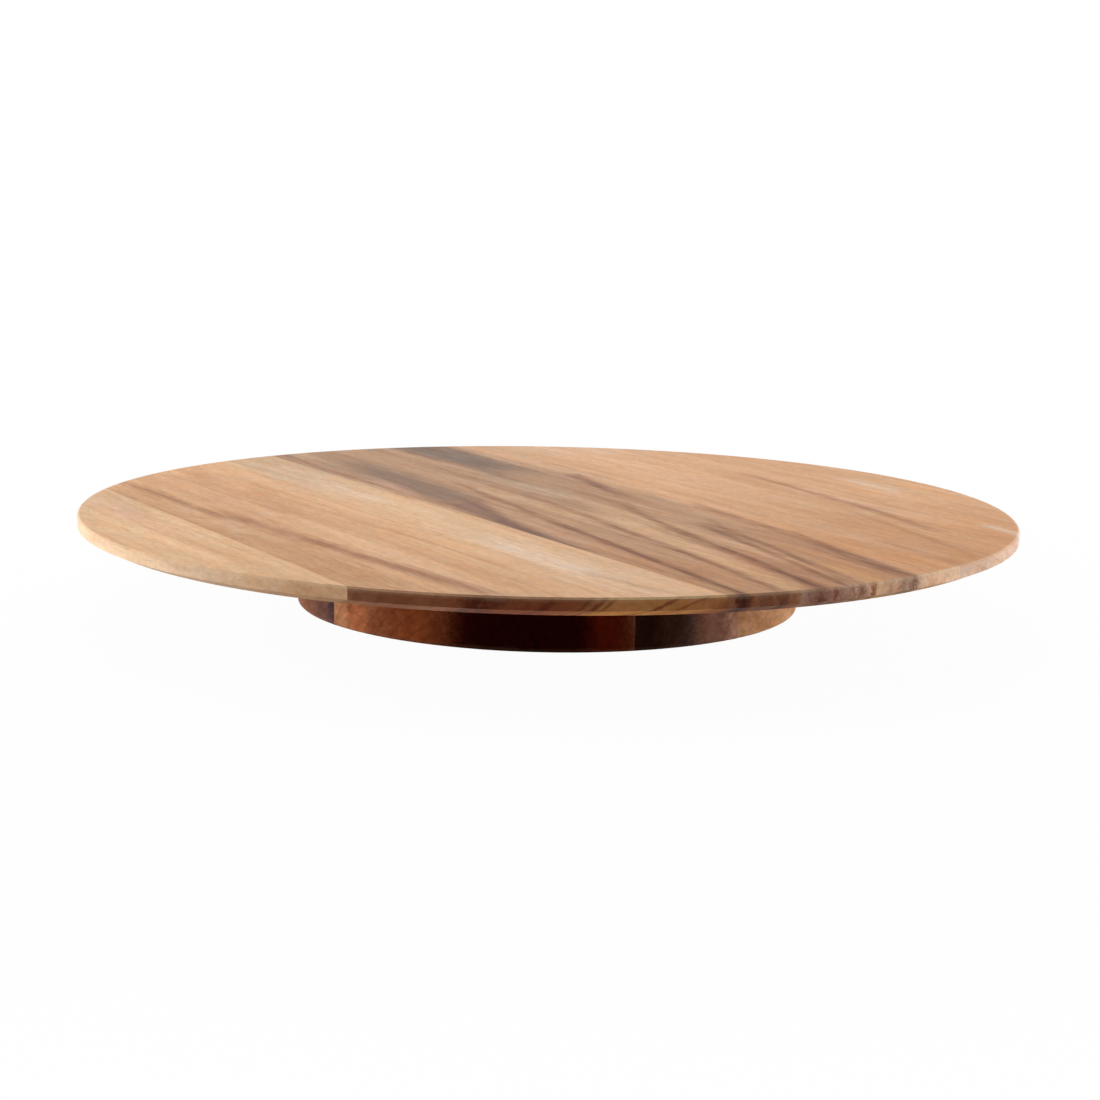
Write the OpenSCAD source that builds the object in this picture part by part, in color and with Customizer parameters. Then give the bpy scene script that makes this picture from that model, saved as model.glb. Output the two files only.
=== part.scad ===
// Lazy susan turntable. A round top of glued planks spins on a flat ring ball bearing, which is screwed
// to a smaller round plank base that stands on rubber feet.
// Millimetres, +Z up, origin on the supporting surface below the centre of the turntable.

/* [Turntable top] */
// Diameter of the turntable top
top_d = 450; // [400:5:500]
// Thickness of the top over the bearing
top_t = 16; // [14:0.5:20]
// Thickness of the top at its rim, chamfer and sloping underside included
rim_t = 8.5; // [7:0.5:12]
// Distance from the rim to the inner end of the shallow bevel under it
bevel_w = 56; // [40:1:100]
// Chamfer on the upper edge of the rim
upper_chamfer = 0.8; // [0.5:0.1:1.5]
// Width of the sloping underside of the rim, measured along a radius
rim_slope_w = 7; // [4:0.5:9]
// Height of the sloping underside of the rim
rim_slope_h = 3.1; // [2:0.1:4]
// Width of the first plank of the top, from the rim to its glue joint
top_first_plank_w = 50; // [40:1:70]
// Width of the last plank of the top, from its glue joint to the rim
top_last_plank_w = 145; // [130:1:151]
// Place of the middle glue joint of the top, measured across the planks from the centre
top_middle_joint = -47; // [-58:1:-30]
// Direction in which the top planks run, turned from +Y
top_grain_angle = 30.5; // [0:0.5:180]

/* [Base] */
// Diameter of the base
base_d = 243; // [225:1:260]
// Thickness of the base
base_t = 21; // [18:0.5:28]
// Rounding of both edges of the base
base_round = 1; // [0.5:0.1:3]
// Width of the first plank of the base, from the edge to its glue joint
base_first_plank_w = 24; // [18:1:28]
// Width of the last plank of the base, from its glue joint to the edge
base_last_plank_w = 35; // [27:1:36]
// Place of the middle glue joint of the base, measured across the planks from the centre
base_middle_joint = 39; // [33:1:46]
// Diameter of the hole through which the upper ring's screws are driven
access_hole_d = 16; // [12:0.5:17]

/* [Ring bearing] */
// Diameter of the circle that the ball centres run on
ball_circle_d = 170; // [150:1:186]
// Radial width of the outer ring
outer_ring_w = 14; // [12:0.5:16]
// Radial width of the inner ring
inner_ring_w = 14; // [12:0.5:16]
// Height of the bearing between the base and the top
bearing_h = 8.5; // [8.2:0.1:9.2]
// Thickness of each ring
ring_t = 7; // [6.8:0.1:7.4]
// Chamfer on the edges of the rings
ring_chamfer = 0.6; // [0.3:0.1:0.8]
// Radial gap between the two rings
ring_gap = 2; // [1.8:0.1:2.2]
// Diameter of a bearing ball
ball_d = 4; // [3.6:0.1:4.2]
// Number of balls
ball_count = 40; // [30:1:48]
// Clearance between a ball and its raceways
race_clearance = 0.05; // [0.02:0.01:0.1]
// Clearance between a ball and its pocket in the cage
pocket_clearance = 0.15; // [0.1:0.01:0.2]
// Gap between the sides of the cage and the rings
cage_side_gap = 0.4; // [0.3:0.05:0.5]
// Gap between the ends of the cage and the wood
cage_end_gap = 0.65; // [0.4:0.05:0.9]
// Angle of the plugged hole through which the balls are filled in
filler_angle = 120; // [115:1:125]

/* [Ring screws] */
// Number of screws in each ring
ring_screw_count = 6; // [4:1:8]
// Shank diameter of a ring screw
ring_screw_d = 4; // [3.5:0.1:4.5]
// Length of a ring screw, head included
ring_screw_l = 16; // [13:1:18]
// Head diameter of a ring screw
ring_head_d = 8; // [7:0.1:8.4]
// Height of a ring screw's countersunk head
ring_head_h = 2.3; // [2:0.1:2.8]

/* [Feet] */
// Number of rubber feet
foot_count = 4; // [3:1:6]
// Diameter of a foot where it meets the base
foot_d = 18; // [15:0.5:20]
// Height of a foot
foot_h = 4.5; // [3.2:0.1:6]
// Chamfer on a foot's lower edge
foot_chamfer = 0.8; // [0.4:0.1:1.2]
// Distance from the edge of the base to the centre of a foot
foot_inset = 35; // [28:1:40]
// Thickness of rubber under a foot screw's head
foot_seat_t = 1.4; // [1:0.1:1.6]
// Shank diameter of a foot screw
foot_screw_d = 3; // [2.5:0.1:3.5]
// Length of a foot screw below its head
foot_screw_l = 10; // [8:1:14]
// Head diameter of a foot screw
foot_head_d = 6; // [5.5:0.1:6.5]
// Height of a foot screw's pan head
foot_head_h = 1.4; // [1.2:0.1:1.6]

/* [Hidden] */
top_stave_count = 4;
base_stave_count = 4;
$fn = 96;

// Small sizes that are shared by several pieces
cut = 1;                 // how far a cutting shape reaches past a face
pilot_clearance = 0.02;  // radial, between a screw or plug and its hole
shank_clearance = 0.3;   // radial, between a screw and the ring it passes through
seat_clearance = 0.05;   // between a screw head and its seat
filler_clearance = 0.15; // radial, between a ball and the filler hole
tip_l = 3;               // length of a screw's point
recess_w = 1;            // width of the cross in a screw head
recess_share = 0.6;      // length of the cross as a share of the head
recess_depth = 1;        // depth of the cross
plug_slot_w = 0.8;       // screwdriver slot of the filler plug
plug_inset = 0.5;        // how far the plug sits inside the ring's outer face
foot_draft = 1;          // how much smaller in radius a foot is at the bottom
foot_bore_gap = 0.6;     // radial, between a foot screw's head and the rubber

// Levels
base_bottom = foot_h;
base_top = base_bottom + base_t;
top_bottom = base_top + bearing_h;
top_top = top_bottom + top_t;
race_z = base_top + bearing_h / 2;

// Radii
top_r = top_d / 2;
base_r = base_d / 2;
race_r = ball_circle_d / 2;
outer_ring_bore_r = race_r + ring_gap / 2;
outer_ring_r = outer_ring_bore_r + outer_ring_w;
inner_ring_r = race_r - ring_gap / 2;
inner_ring_bore_r = inner_ring_r - inner_ring_w;
groove_r = ball_d / 2 + race_clearance;
outer_screw_circle_r = outer_ring_r - outer_ring_w / 2;
inner_screw_circle_r = inner_ring_r - inner_ring_w / 2;
foot_circle_r = base_r - foot_inset;
filler_r = ball_d / 2 + filler_clearance;

// Plank joints, and the angles that keep the screws clear of them
top_joints = [
    -top_r - cut,
    -top_r + top_first_plank_w,
    top_middle_joint,
    top_r - top_last_plank_w,
    top_r + cut
];
base_joints = [
    -base_r - cut,
    -base_r + base_first_plank_w,
    base_middle_joint,
    base_r - base_last_plank_w,
    base_r + cut
];
outer_screw_start = 30;
inner_screw_start = 0;
access_angle = 240;
foot_start = 45;

top_colors = ["#c9a07a", "#d0a47a", "#9c7458", "#cc9a74"];
base_colors = ["#5a3a34", "#7a4426", "#3c2620", "#a4673c"];

// Copies of the children on a circle in the XY plane
module around(count, r, start) {
    for (i = [0:count - 1])
        rotate([0, 0, start + i * 360 / count])
            translate([r, 0, 0])
                children();
}

// A straight slab from x = a to x = b that is as long as the disc it cuts
module slab(a, b, r, z0, z1) {
    translate([a, -r - cut, z0 - cut])
        cube([b - a, 2 * (r + cut), z1 - z0 + 2 * cut]);
}

// Section of the top: flat above with a small chamfer, a sloping rim underside and a shallow bevel inside it
module top_section() {
    rim_z = top_top - rim_t;
    polygon([
        [0, top_bottom],
        [top_r - bevel_w, top_bottom],
        [top_r - rim_slope_w, rim_z],
        [top_r, rim_z + rim_slope_h],
        [top_r, top_top - upper_chamfer],
        [top_r - upper_chamfer, top_top],
        [0, top_top]
    ]);
}

// Section of the base: a flat disc with both edges rounded
module base_section() {
    union() {
        polygon([
            [0, base_bottom],
            [base_r - base_round, base_bottom],
            [base_r, base_bottom + base_round],
            [base_r, base_top - base_round],
            [base_r - base_round, base_top],
            [0, base_top]
        ]);
        translate([base_r - base_round, base_bottom + base_round])
            circle(base_round);
        translate([base_r - base_round, base_top - base_round])
            circle(base_round);
    }
}

// Section of a bearing ring between two radii: a chamfered bar with the ball groove cut in one side
module ring_section(r0, r1, z0) {
    c = ring_chamfer;
    difference() {
        polygon([
            [r0 + c, z0],
            [r1 - c, z0],
            [r1, z0 + c],
            [r1, z0 + ring_t - c],
            [r1 - c, z0 + ring_t],
            [r0 + c, z0 + ring_t],
            [r0, z0 + ring_t - c],
            [r0, z0 + c]
        ]);
        translate([race_r, race_z])
            circle(groove_r);
    }
}

// Countersunk wood screw, head up, with the top of its head at the origin
module ring_screw() {
    shank_l = ring_screw_l - tip_l;
    difference() {
        union() {
            translate([0, 0, -ring_head_h])
                cylinder(h = ring_head_h, d1 = ring_screw_d, d2 = ring_head_d);
            translate([0, 0, -shank_l])
                cylinder(h = shank_l - ring_head_h, d = ring_screw_d);
            translate([0, 0, -ring_screw_l])
                cylinder(h = tip_l, d1 = 0, d2 = ring_screw_d);
        }
        cross_recess(ring_head_d * recess_share);
    }
}

// Room for a ring screw in its ring: the shank hole and the countersink
module ring_screw_hole() {
    sink_d = ring_head_d + 2 * seat_clearance;
    hole_d = ring_screw_d + 2 * shank_clearance;
    translate([0, 0, -ring_t - cut])
        cylinder(h = ring_t + 2 * cut, d = hole_d);
    translate([0, 0, -ring_head_h])
        cylinder(h = ring_head_h, d1 = ring_screw_d + 2 * seat_clearance, d2 = sink_d);
    cylinder(h = cut, d = sink_d);
}

// Pilot hole in the wood below the ring for the same screw
module ring_screw_pilot() {
    translate([0, 0, -ring_screw_l - pilot_clearance])
        cylinder(h = ring_screw_l, d = ring_screw_d + 2 * pilot_clearance);
}

// Cross recess for a screwdriver, cut down from the origin
module cross_recess(l) {
    for (turn = [0, 90])
        rotate([0, 0, turn])
            translate([-l / 2, -recess_w / 2, -recess_depth])
                cube([l, recess_w, recess_depth + cut]);
}

// Places of the two sets of ring screws, each with +Z pointing out of the head
module outer_screw_places() {
    translate([0, 0, base_top + ring_t])
        around(ring_screw_count, outer_screw_circle_r, outer_screw_start)
            children();
}
module inner_screw_places() {
    translate([0, 0, top_bottom - ring_t])
        around(ring_screw_count, inner_screw_circle_r, inner_screw_start)
            mirror([0, 0, 1])
                children();
}

// Places of the feet, at the underside of the base
module foot_places() {
    translate([0, 0, base_bottom])
        around(foot_count, foot_circle_r, foot_start)
            children();
}

// Places of the balls
module ball_places() {
    translate([0, 0, race_z])
        around(ball_count, race_r, 0)
            children();
}

// One plank of the top, cut to the round
module top_stave(i) {
    color(top_colors[i - 1])
        difference() {
            rotate([0, 0, top_grain_angle])
                intersection() {
                    rotate_extrude()
                        top_section();
                    slab(top_joints[i - 1], top_joints[i], top_r, top_bottom, top_top);
                }
            inner_screw_places()
                ring_screw_pilot();
        }
}

// One plank of the base, cut to the round, with the pilot holes and the access hole
module base_stave(i) {
    color(base_colors[i - 1])
        difference() {
            intersection() {
                rotate_extrude()
                    base_section();
                slab(base_joints[i - 1], base_joints[i], base_r, base_bottom, base_top);
            }
            outer_screw_places()
                ring_screw_pilot();
            foot_places()
                translate([0, 0, -cut])
                    cylinder(h = foot_screw_l + cut, d = foot_screw_d + 2 * pilot_clearance);
            rotate([0, 0, access_angle])
                translate([inner_screw_circle_r, 0, base_bottom - cut])
                    cylinder(h = base_t + 2 * cut, d = access_hole_d);
        }
}

// Lower, outer ring of the bearing, screwed to the base, with the filler hole in its side
module outer_ring() {
    color("#c4c6c8")
        difference() {
            rotate_extrude()
                ring_section(outer_ring_bore_r, outer_ring_r, base_top);
            outer_screw_places()
                ring_screw_hole();
            rotate([0, 0, filler_angle])
                translate([race_r, 0, race_z])
                    rotate([0, 90, 0])
                        cylinder(h = outer_ring_r - race_r + cut, r = filler_r);
        }
}

// Upper, inner ring of the bearing, screwed to the turntable top from below
module inner_ring() {
    color("#b8babd")
        difference() {
            rotate_extrude()
                ring_section(inner_ring_bore_r, inner_ring_r, top_bottom - ring_t);
            inner_screw_places()
                ring_screw_hole();
        }
}

// Cage that keeps the balls apart, with a round pocket for each
module ball_cage() {
    cage_t = ring_gap - 2 * cage_side_gap;
    cage_h = bearing_h - 2 * cage_end_gap;
    color("#e8e6df")
        difference() {
            rotate_extrude()
                translate([race_r - cage_t / 2, base_top + cage_end_gap])
                    square([cage_t, cage_h]);
            ball_places()
                rotate([0, 90, 0])
                    cylinder(h = ball_d, r = ball_d / 2 + pocket_clearance, center = true);
        }
}

// The balls in their raceway
module bearing_balls() {
    color("#dfe2e5")
        ball_places()
            sphere(d = ball_d);
}

// Plug that closes the filler hole, its inner end cut to the groove, with a slot in its outer end
module filler_plug() {
    plug_end = outer_ring_r - plug_inset;
    color("#8f9296")
        difference() {
            rotate([0, 0, filler_angle])
                translate([outer_ring_bore_r, 0, race_z])
                    rotate([0, 90, 0])
                        cylinder(h = plug_end - outer_ring_bore_r, r = filler_r - pilot_clearance);
            rotate_extrude()
                translate([race_r, race_z])
                    circle(groove_r);
            rotate_extrude()
                translate([0, race_z - filler_r])
                    square([outer_ring_bore_r, 2 * filler_r]);
            rotate([0, 0, filler_angle])
                translate([plug_end - plug_slot_w, -filler_r, race_z - plug_slot_w / 2])
                    cube([plug_slot_w + cut, 2 * filler_r, plug_slot_w]);
        }
}

module outer_ring_screws() {
    color("#a9abae")
        outer_screw_places()
            ring_screw();
}

module inner_ring_screws() {
    color("#a9abae")
        inner_screw_places()
            ring_screw();
}

// Section of a foot below the base: a slight draft, a chamfered lower edge and a stepped bore
module foot_section() {
    bottom_r = foot_d / 2 - foot_draft;
    head_r = foot_head_d / 2 + foot_bore_gap;
    hole_r = foot_screw_d / 2 + pilot_clearance;
    difference() {
        polygon([
            [hole_r, 0],
            [foot_d / 2, 0],
            [bottom_r, foot_chamfer - foot_h],
            [bottom_r - foot_chamfer, -foot_h],
            [hole_r, -foot_h]
        ]);
        translate([0, -foot_h - cut])
            square([head_r, foot_h - foot_seat_t + cut]);
    }
}

// One rubber foot, counterbored from below for its screw
module foot(i) {
    color("#2b2a2a")
        translate([0, 0, base_bottom])
            rotate([0, 0, foot_start + (i - 1) * 360 / foot_count])
                translate([foot_circle_r, 0, 0])
                    rotate_extrude()
                        foot_section();
}

// Pan-head screws that hold the feet
module foot_screws() {
    color("#a9abae")
        foot_places()
            translate([0, 0, -foot_seat_t])
                mirror([0, 0, 1])
                    difference() {
                        union() {
                            cylinder(h = foot_head_h, d = foot_head_d);
                            translate([0, 0, tip_l - foot_screw_l])
                                cylinder(h = foot_screw_l - tip_l, d = foot_screw_d);
                            translate([0, 0, -foot_screw_l])
                                cylinder(h = tip_l, d1 = 0, d2 = foot_screw_d);
                        }
                        translate([0, 0, foot_head_h])
                            cross_recess(foot_head_d * recess_share);
                    }
}

for (i = [1:top_stave_count])
    top_stave(i);
for (i = [1:base_stave_count])
    base_stave(i);
outer_ring();
inner_ring();
ball_cage();
bearing_balls();
filler_plug();
outer_ring_screws();
inner_ring_screws();
for (i = [1:foot_count])
    foot(i);
foot_screws();
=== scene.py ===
import math

import bpy
from mathutils import Matrix, Vector


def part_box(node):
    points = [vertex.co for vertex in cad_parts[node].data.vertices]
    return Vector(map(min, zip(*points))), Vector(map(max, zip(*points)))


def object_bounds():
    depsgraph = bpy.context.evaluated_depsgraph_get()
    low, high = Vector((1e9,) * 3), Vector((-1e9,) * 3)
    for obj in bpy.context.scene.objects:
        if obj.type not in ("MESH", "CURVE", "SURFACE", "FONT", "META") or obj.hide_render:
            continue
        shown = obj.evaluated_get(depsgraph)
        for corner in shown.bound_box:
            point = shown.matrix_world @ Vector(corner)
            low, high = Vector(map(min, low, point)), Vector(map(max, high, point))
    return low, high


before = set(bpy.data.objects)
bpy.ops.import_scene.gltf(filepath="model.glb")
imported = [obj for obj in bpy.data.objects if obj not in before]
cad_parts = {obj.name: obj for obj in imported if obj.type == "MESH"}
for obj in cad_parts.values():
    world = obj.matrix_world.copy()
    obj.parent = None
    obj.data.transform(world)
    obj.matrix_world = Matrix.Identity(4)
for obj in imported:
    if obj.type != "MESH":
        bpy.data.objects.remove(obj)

cadBox = [list(corner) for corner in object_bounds()]
mm = 0.001
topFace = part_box("top_stave_2")[1].z
baseLow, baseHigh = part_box("base_stave_2")
topRadius = (cadBox[1][0] - cadBox[0][0]) / 2
baseRadius = baseHigh.y
print("frame loaded, top face at", round(topFace, 4))


def feed(tree, socket, value):  # links another socket, or sets a plain value
    if isinstance(value, bpy.types.NodeSocket):
        tree.links.new(value, socket)
    else:
        socket.default_value = (*value, 1) if socket.type == "RGBA" else value


def addNode(tree, kind, settings=None, inputs=None):
    made = tree.nodes.new(kind)
    for name, value in (settings or {}).items():
        setattr(made, name, value)
    for name, value in (inputs or {}).items():
        feed(tree, made.inputs[name], value)
    return made


def calc(tree, operation, first, second=0.0, third=0.0, clamp=False):
    made = addNode(tree, "ShaderNodeMath", {"operation": operation, "use_clamp": clamp})
    for socket, value in zip(made.inputs, (first, second, third)):
        feed(tree, socket, value)
    return made.outputs[0]


def vectorCalc(tree, operation, first, second=(0.0, 0.0, 0.0), output="Vector"):
    made = addNode(tree, "ShaderNodeVectorMath", {"operation": operation})
    for socket, value in zip(made.inputs, (first, second)):
        feed(tree, socket, value)
    return made.outputs[output]


def softStep(tree, value, low, high):
    made = addNode(tree, "ShaderNodeMapRange", {"interpolation_type": "SMOOTHSTEP"},
                   {"Value": value, "From Min": low, "From Max": high})
    return made.outputs["Result"]


def mixColour(tree, blend, factor, first, second):
    made = addNode(tree, "ShaderNodeMix", {"data_type": "RGBA", "blend_type": blend}, {"Factor": factor})
    colourSockets = [socket for socket in made.inputs if socket.type == "RGBA"]
    for socket, value in zip(colourSockets, (first, second)):
        feed(tree, socket, value)
    return [socket for socket in made.outputs if socket.type == "RGBA"][0]


def split(tree, value):
    return addNode(tree, "ShaderNodeSeparateXYZ", None, {"Vector": value}).outputs


def joined(tree, x=0.0, y=0.0, z=0.0):
    return addNode(tree, "ShaderNodeCombineXYZ", None, {"X": x, "Y": y, "Z": z}).outputs[0]


def noise(tree, place, detail, roughness=0.5, scale=1.0):
    return addNode(tree, "ShaderNodeTexNoise", None, {
        "Vector": place, "Scale": scale, "Detail": detail, "Roughness": roughness}).outputs[0]


def newGroup(name, takes, gives):
    group = bpy.data.node_groups.new(name, "ShaderNodeTree")
    for socketName, kind, value in takes:
        socket = group.interface.new_socket(socketName, in_out="INPUT", socket_type=kind)
        if value is not None:
            socket.default_value = value
    for socketName, kind in gives:
        group.interface.new_socket(socketName, in_out="OUTPUT", socket_type=kind)
    return group, group.nodes.new("NodeGroupInput").outputs, group.nodes.new("NodeGroupOutput").inputs


def giveOut(group, out, results):
    for name, value in results.items():
        group.links.new(value, out[name])


def placeGroup(tree, group, values):
    made = tree.nodes.new("ShaderNodeGroup")
    made.node_tree = group
    for name, value in values.items():
        feed(tree, made.inputs[name], value)
    return made.outputs


def newMaterial(name):
    material = bpy.data.materials.new(name)
    material.use_nodes = True
    material.node_tree.nodes.clear()
    return material, material.node_tree


number, vector, colour = "NodeSocketFloat", "NodeSocketVector", "NodeSocketColor"


def makeGrainSpace():  # turns object coordinates so that x runs across a plank and y along its grain
    group, given, out = newGroup(
        "grainSpace",
        [("Turn", number, 0.0), ("Wander", number, 0.004), ("Ragged", number, 0.0006), ("Seed", number, 0.0)],
        [("Grain", vector), ("End On", number), ("Underside", number), ("Edge On", number)])
    place = addNode(group, "ShaderNodeTexCoord")
    back = calc(group, "MULTIPLY", given["Turn"], -1.0)
    turned = [addNode(group, "ShaderNodeVectorRotate", {"rotation_type": "Z_AXIS"},
                      {"Vector": place.outputs[source], "Angle": back}) for source in ("Object", "Normal")]
    here, facing = [split(group, spin.outputs[0]) for spin in turned]
    along = calc(group, "MULTIPLY", here["Y"], -1.0)
    plain = joined(group, here["X"], along, here["Z"])
    seedShift = joined(group, given["Seed"], given["Seed"], given["Seed"])
    across = here["X"]
    wanderSpread, raggedSpread = (9, 1.6, 9), (60, 14, 60)  # swings per metre across, along and down
    for spread, amount, detail in ((wanderSpread, "Wander", 1.0), (raggedSpread, "Ragged", 2.0)):
        spot = vectorCalc(group, "ADD", vectorCalc(group, "MULTIPLY", plain, spread), seedShift)
        drift = calc(group, "SUBTRACT", noise(group, spot, detail), 0.5)
        shift = calc(group, "MULTIPLY", drift, given[amount])
        across = calc(group, "MULTIPLY_ADD", shift, 2.0, across)
    level = calc(group, "SUBTRACT", 1.0, calc(group, "MULTIPLY", facing["Z"], facing["Z"]))
    upright = calc(group, "SQRT", calc(group, "MAXIMUM", level, 0.0001))
    square = calc(group, "DIVIDE", calc(group, "ABSOLUTE", facing["Y"]), upright)
    endOn = calc(group, "MULTIPLY", softStep(group, square, 0.3, 0.85), softStep(group, upright, 0.2, 0.38))
    upward = softStep(group, facing["Z"], 0.4, 0.7)
    chamferHighlight = calc(group, "MULTIPLY_ADD", upward, -0.5, 1.0)  # painted highlight: end tint is halved on the small upper chamfer so that its edge reads lighter
    sideOn = calc(group, "SUBTRACT", 1.0, endOn)
    giveOut(group, out, {
        "Grain": joined(group, across, along, here["Z"]), "End On": calc(group, "MULTIPLY", endOn, chamferHighlight),
        "Underside": softStep(group, facing["Z"], -0.4, -0.7),
        "Edge On": calc(group, "MULTIPLY", softStep(group, upright, 0.8, 0.95), sideOn)})
    return group


def makeGrowthBands():  # colour bands and late-wood lines of rings round a pith that runs along the plank
    group, given, out = newGroup(
        "growthBands",
        [("Grain", vector, None), ("Pith Across", number, 0.0), ("Pith Level", number, -0.1),
         ("Band Width", number, 0.012), ("Ring Width", number, 0.006), ("Seed", number, 0.0)],
        [("Bands", number), ("Late Lines", number)])
    at = split(group, given["Grain"])
    aside = calc(group, "SUBTRACT", at["X"], given["Pith Across"])
    rise = calc(group, "SUBTRACT", at["Z"], given["Pith Level"])
    squares = calc(group, "MULTIPLY_ADD", aside, aside, calc(group, "MULTIPLY", rise, rise))
    reach = calc(group, "SQRT", squares)
    outward = calc(group, "DIVIDE", reach, given["Band Width"])
    slow = calc(group, "MULTIPLY", at["Y"], 1.3)
    cloud = noise(group, joined(group, outward, slow, given["Seed"]), 2.0, 0.55)
    rings = calc(group, "DIVIDE", reach, given["Ring Width"])
    phase = calc(group, "FRACT", calc(group, "MULTIPLY_ADD", cloud, 2.4, rings))
    line = calc(group, "MULTIPLY", calc(group, "POWER", phase, 5.0), softStep(group, phase, 1.0, 0.93))
    giveOut(group, out, {
        "Bands": softStep(group, cloud, 0.3, 0.7),
        "Late Lines": calc(group, "MULTIPLY", line, softStep(group, cloud, 0.65, 0.35))})
    return group


def makeHeartStreak():  # one streak or zone that follows a gentle curve along the plank
    group, given, out = newGroup(
        "heartStreak",
        [("Across", number, 0.0), ("Along", number, 0.0), ("Depth", number, 0.0),
         ("Place", number, 0.0), ("Slant", number, 0.0), ("Bow", number, 0.0),
         ("Lean", number, 0.0), ("Width", number, 0.004), ("Taper", number, 0.0), ("Soft", number, 0.003),
         ("Start", number, -0.3), ("End", number, 0.3), ("Start Fade", number, 0.02),
         ("End Fade", number, 0.02), ("Fray", number, 0.5), ("Kept", number, 1.0)],
        [("Mask", number)])
    along = given["Along"]
    rise = calc(group, "MULTIPLY_ADD", given["Bow"], along, given["Slant"])
    middle = calc(group, "MULTIPLY_ADD", rise, along, given["Place"])
    middle = calc(group, "MULTIPLY_ADD", given["Lean"], given["Depth"], middle)
    away = calc(group, "ABSOLUTE", calc(group, "SUBTRACT", given["Across"], middle))
    ragged = calc(group, "MULTIPLY", calc(group, "SUBTRACT", given["Fray"], 0.5),
                  calc(group, "MINIMUM", given["Soft"], 0.006))
    away = calc(group, "MULTIPLY_ADD", ragged, 1.4, away)
    passed = calc(group, "SUBTRACT", along, given["Start"])
    wide = calc(group, "MULTIPLY_ADD", given["Taper"], passed, given["Width"])
    halfWidth = calc(group, "MAXIMUM", calc(group, "MULTIPLY", wide, 0.5), 0.0002)
    inside = calc(group, "DIVIDE", calc(group, "SUBTRACT", halfWidth, away), given["Soft"])
    begun = calc(group, "DIVIDE", passed, calc(group, "MULTIPLY", given["Start Fade"], 2.0))
    left = calc(group, "DIVIDE", calc(group, "SUBTRACT", given["End"], along),
                calc(group, "MULTIPLY", given["End Fade"], 2.0))
    nearest = calc(group, "MINIMUM", inside, calc(group, "MINIMUM", begun, left))
    giveOut(group, out, {"Mask": calc(group, "MULTIPLY", softStep(group, nearest, -0.5, 0.5), given["Kept"])})
    return group


def stretched(tree, at, wide, long, seed):  # a place for noise, wide across the grain and long along it
    across = calc(tree, "ADD", calc(tree, "DIVIDE", at["X"], wide), seed)
    return joined(tree, across, calc(tree, "DIVIDE", at["Y"], long), calc(tree, "DIVIDE", at["Z"], wide))


def makeFigure():  # long thin lights and darks that follow the grain
    group, given, out = newGroup(
        "figure",
        [("Grain", vector, None), ("Width", number, 0.004), ("Length", number, 0.12),
         ("Broken", number, 0.45), ("Seed", number, 0.0)],
        [("Swing", number), ("Fray", number), ("Kept", number)])
    at = split(group, given["Grain"])
    clouds = []
    for share, lengthShare, detail in ((1.0, 1.0, 3.0), (0.35, 0.3, 1.0), (1.8, 0.5, 2.0)):
        wide = calc(group, "MULTIPLY", given["Width"], share)
        long = calc(group, "MULTIPLY", given["Length"], lengthShare)
        clouds.append(noise(group, stretched(group, at, wide, long, given["Seed"]), detail, 0.62))
    whole = calc(group, "SUBTRACT", 1.0, given["Broken"])
    giveOut(group, out, {
        "Swing": softStep(group, clouds[0], 0.28, 0.72), "Fray": clouds[1],
        "Kept": calc(group, "MULTIPLY_ADD", softStep(group, clouds[2], 0.3, 0.6), given["Broken"], whole)})
    return group


def makeFibreLines():  # fine fibres and open pores, long along the grain and round on cut ends
    group, given, out = newGroup(
        "fibreLines",
        [("Grain", vector, None), ("Fineness", number, 900.0), ("Pore Share", number, 0.3),
         ("Seed", number, 0.0)],
        [("Fibre", number), ("Pores", number)])
    seedShift = joined(group, given["Seed"], 0.0, given["Seed"])
    clouds = []
    for share, lengthShare, detail in ((0.45, 0.022, 3.0), (1.0, 0.03, 1.0)):
        wide = calc(group, "MULTIPLY", given["Fineness"], share)
        long = calc(group, "MULTIPLY", given["Fineness"], share * lengthShare)
        spread = vectorCalc(group, "MULTIPLY", given["Grain"], joined(group, wide, long, wide))
        clouds.append(noise(group, vectorCalc(group, "ADD", spread, seedShift), detail))
    threshold = calc(group, "MULTIPLY_ADD", given["Pore Share"], -0.25, 0.78)
    pores = softStep(group, clouds[1], threshold, calc(group, "ADD", threshold, 0.05))
    giveOut(group, out, {"Fibre": clouds[0], "Pores": pores})
    return group


def makeSoftPatches():  # wide cloudy patches, drawn out along the grain
    group, given, out = newGroup(
        "softPatches",
        [("Grain", vector, None), ("Size", number, 0.05), ("Stretch", number, 3.0), ("Cover", number, 0.4),
         ("Seed", number, 0.0)],
        [("Mask", number)])
    long = calc(group, "MULTIPLY", given["Size"], given["Stretch"])
    place = stretched(group, split(group, given["Grain"]), given["Size"], long, given["Seed"])
    low = calc(group, "MULTIPLY_ADD", given["Cover"], -0.4, 0.72)
    high = calc(group, "ADD", low, 0.16)
    giveOut(group, out, {"Mask": softStep(group, noise(group, place, 3.0, 0.6), low, high)})
    return group


def makeMottle():  # small short flecks of light and dark that break up the long grain
    group, given, out = newGroup(
        "mottle",
        [("Grain", vector, None), ("Size", number, 0.0018), ("Stretch", number, 2.5), ("Seed", number, 0.0)],
        [("Swing", number), ("Drift", number)])
    at = split(group, given["Grain"])
    clouds = []
    for share in (1.0, 5.0):
        wide = calc(group, "MULTIPLY", given["Size"], share)
        long = calc(group, "MULTIPLY", wide, given["Stretch"])
        clouds.append(noise(group, stretched(group, at, wide, long, given["Seed"]), 2.0))
    giveOut(group, out, {"Swing": clouds[0], "Drift": softStep(group, clouds[1], 0.3, 0.7)})
    return group


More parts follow.
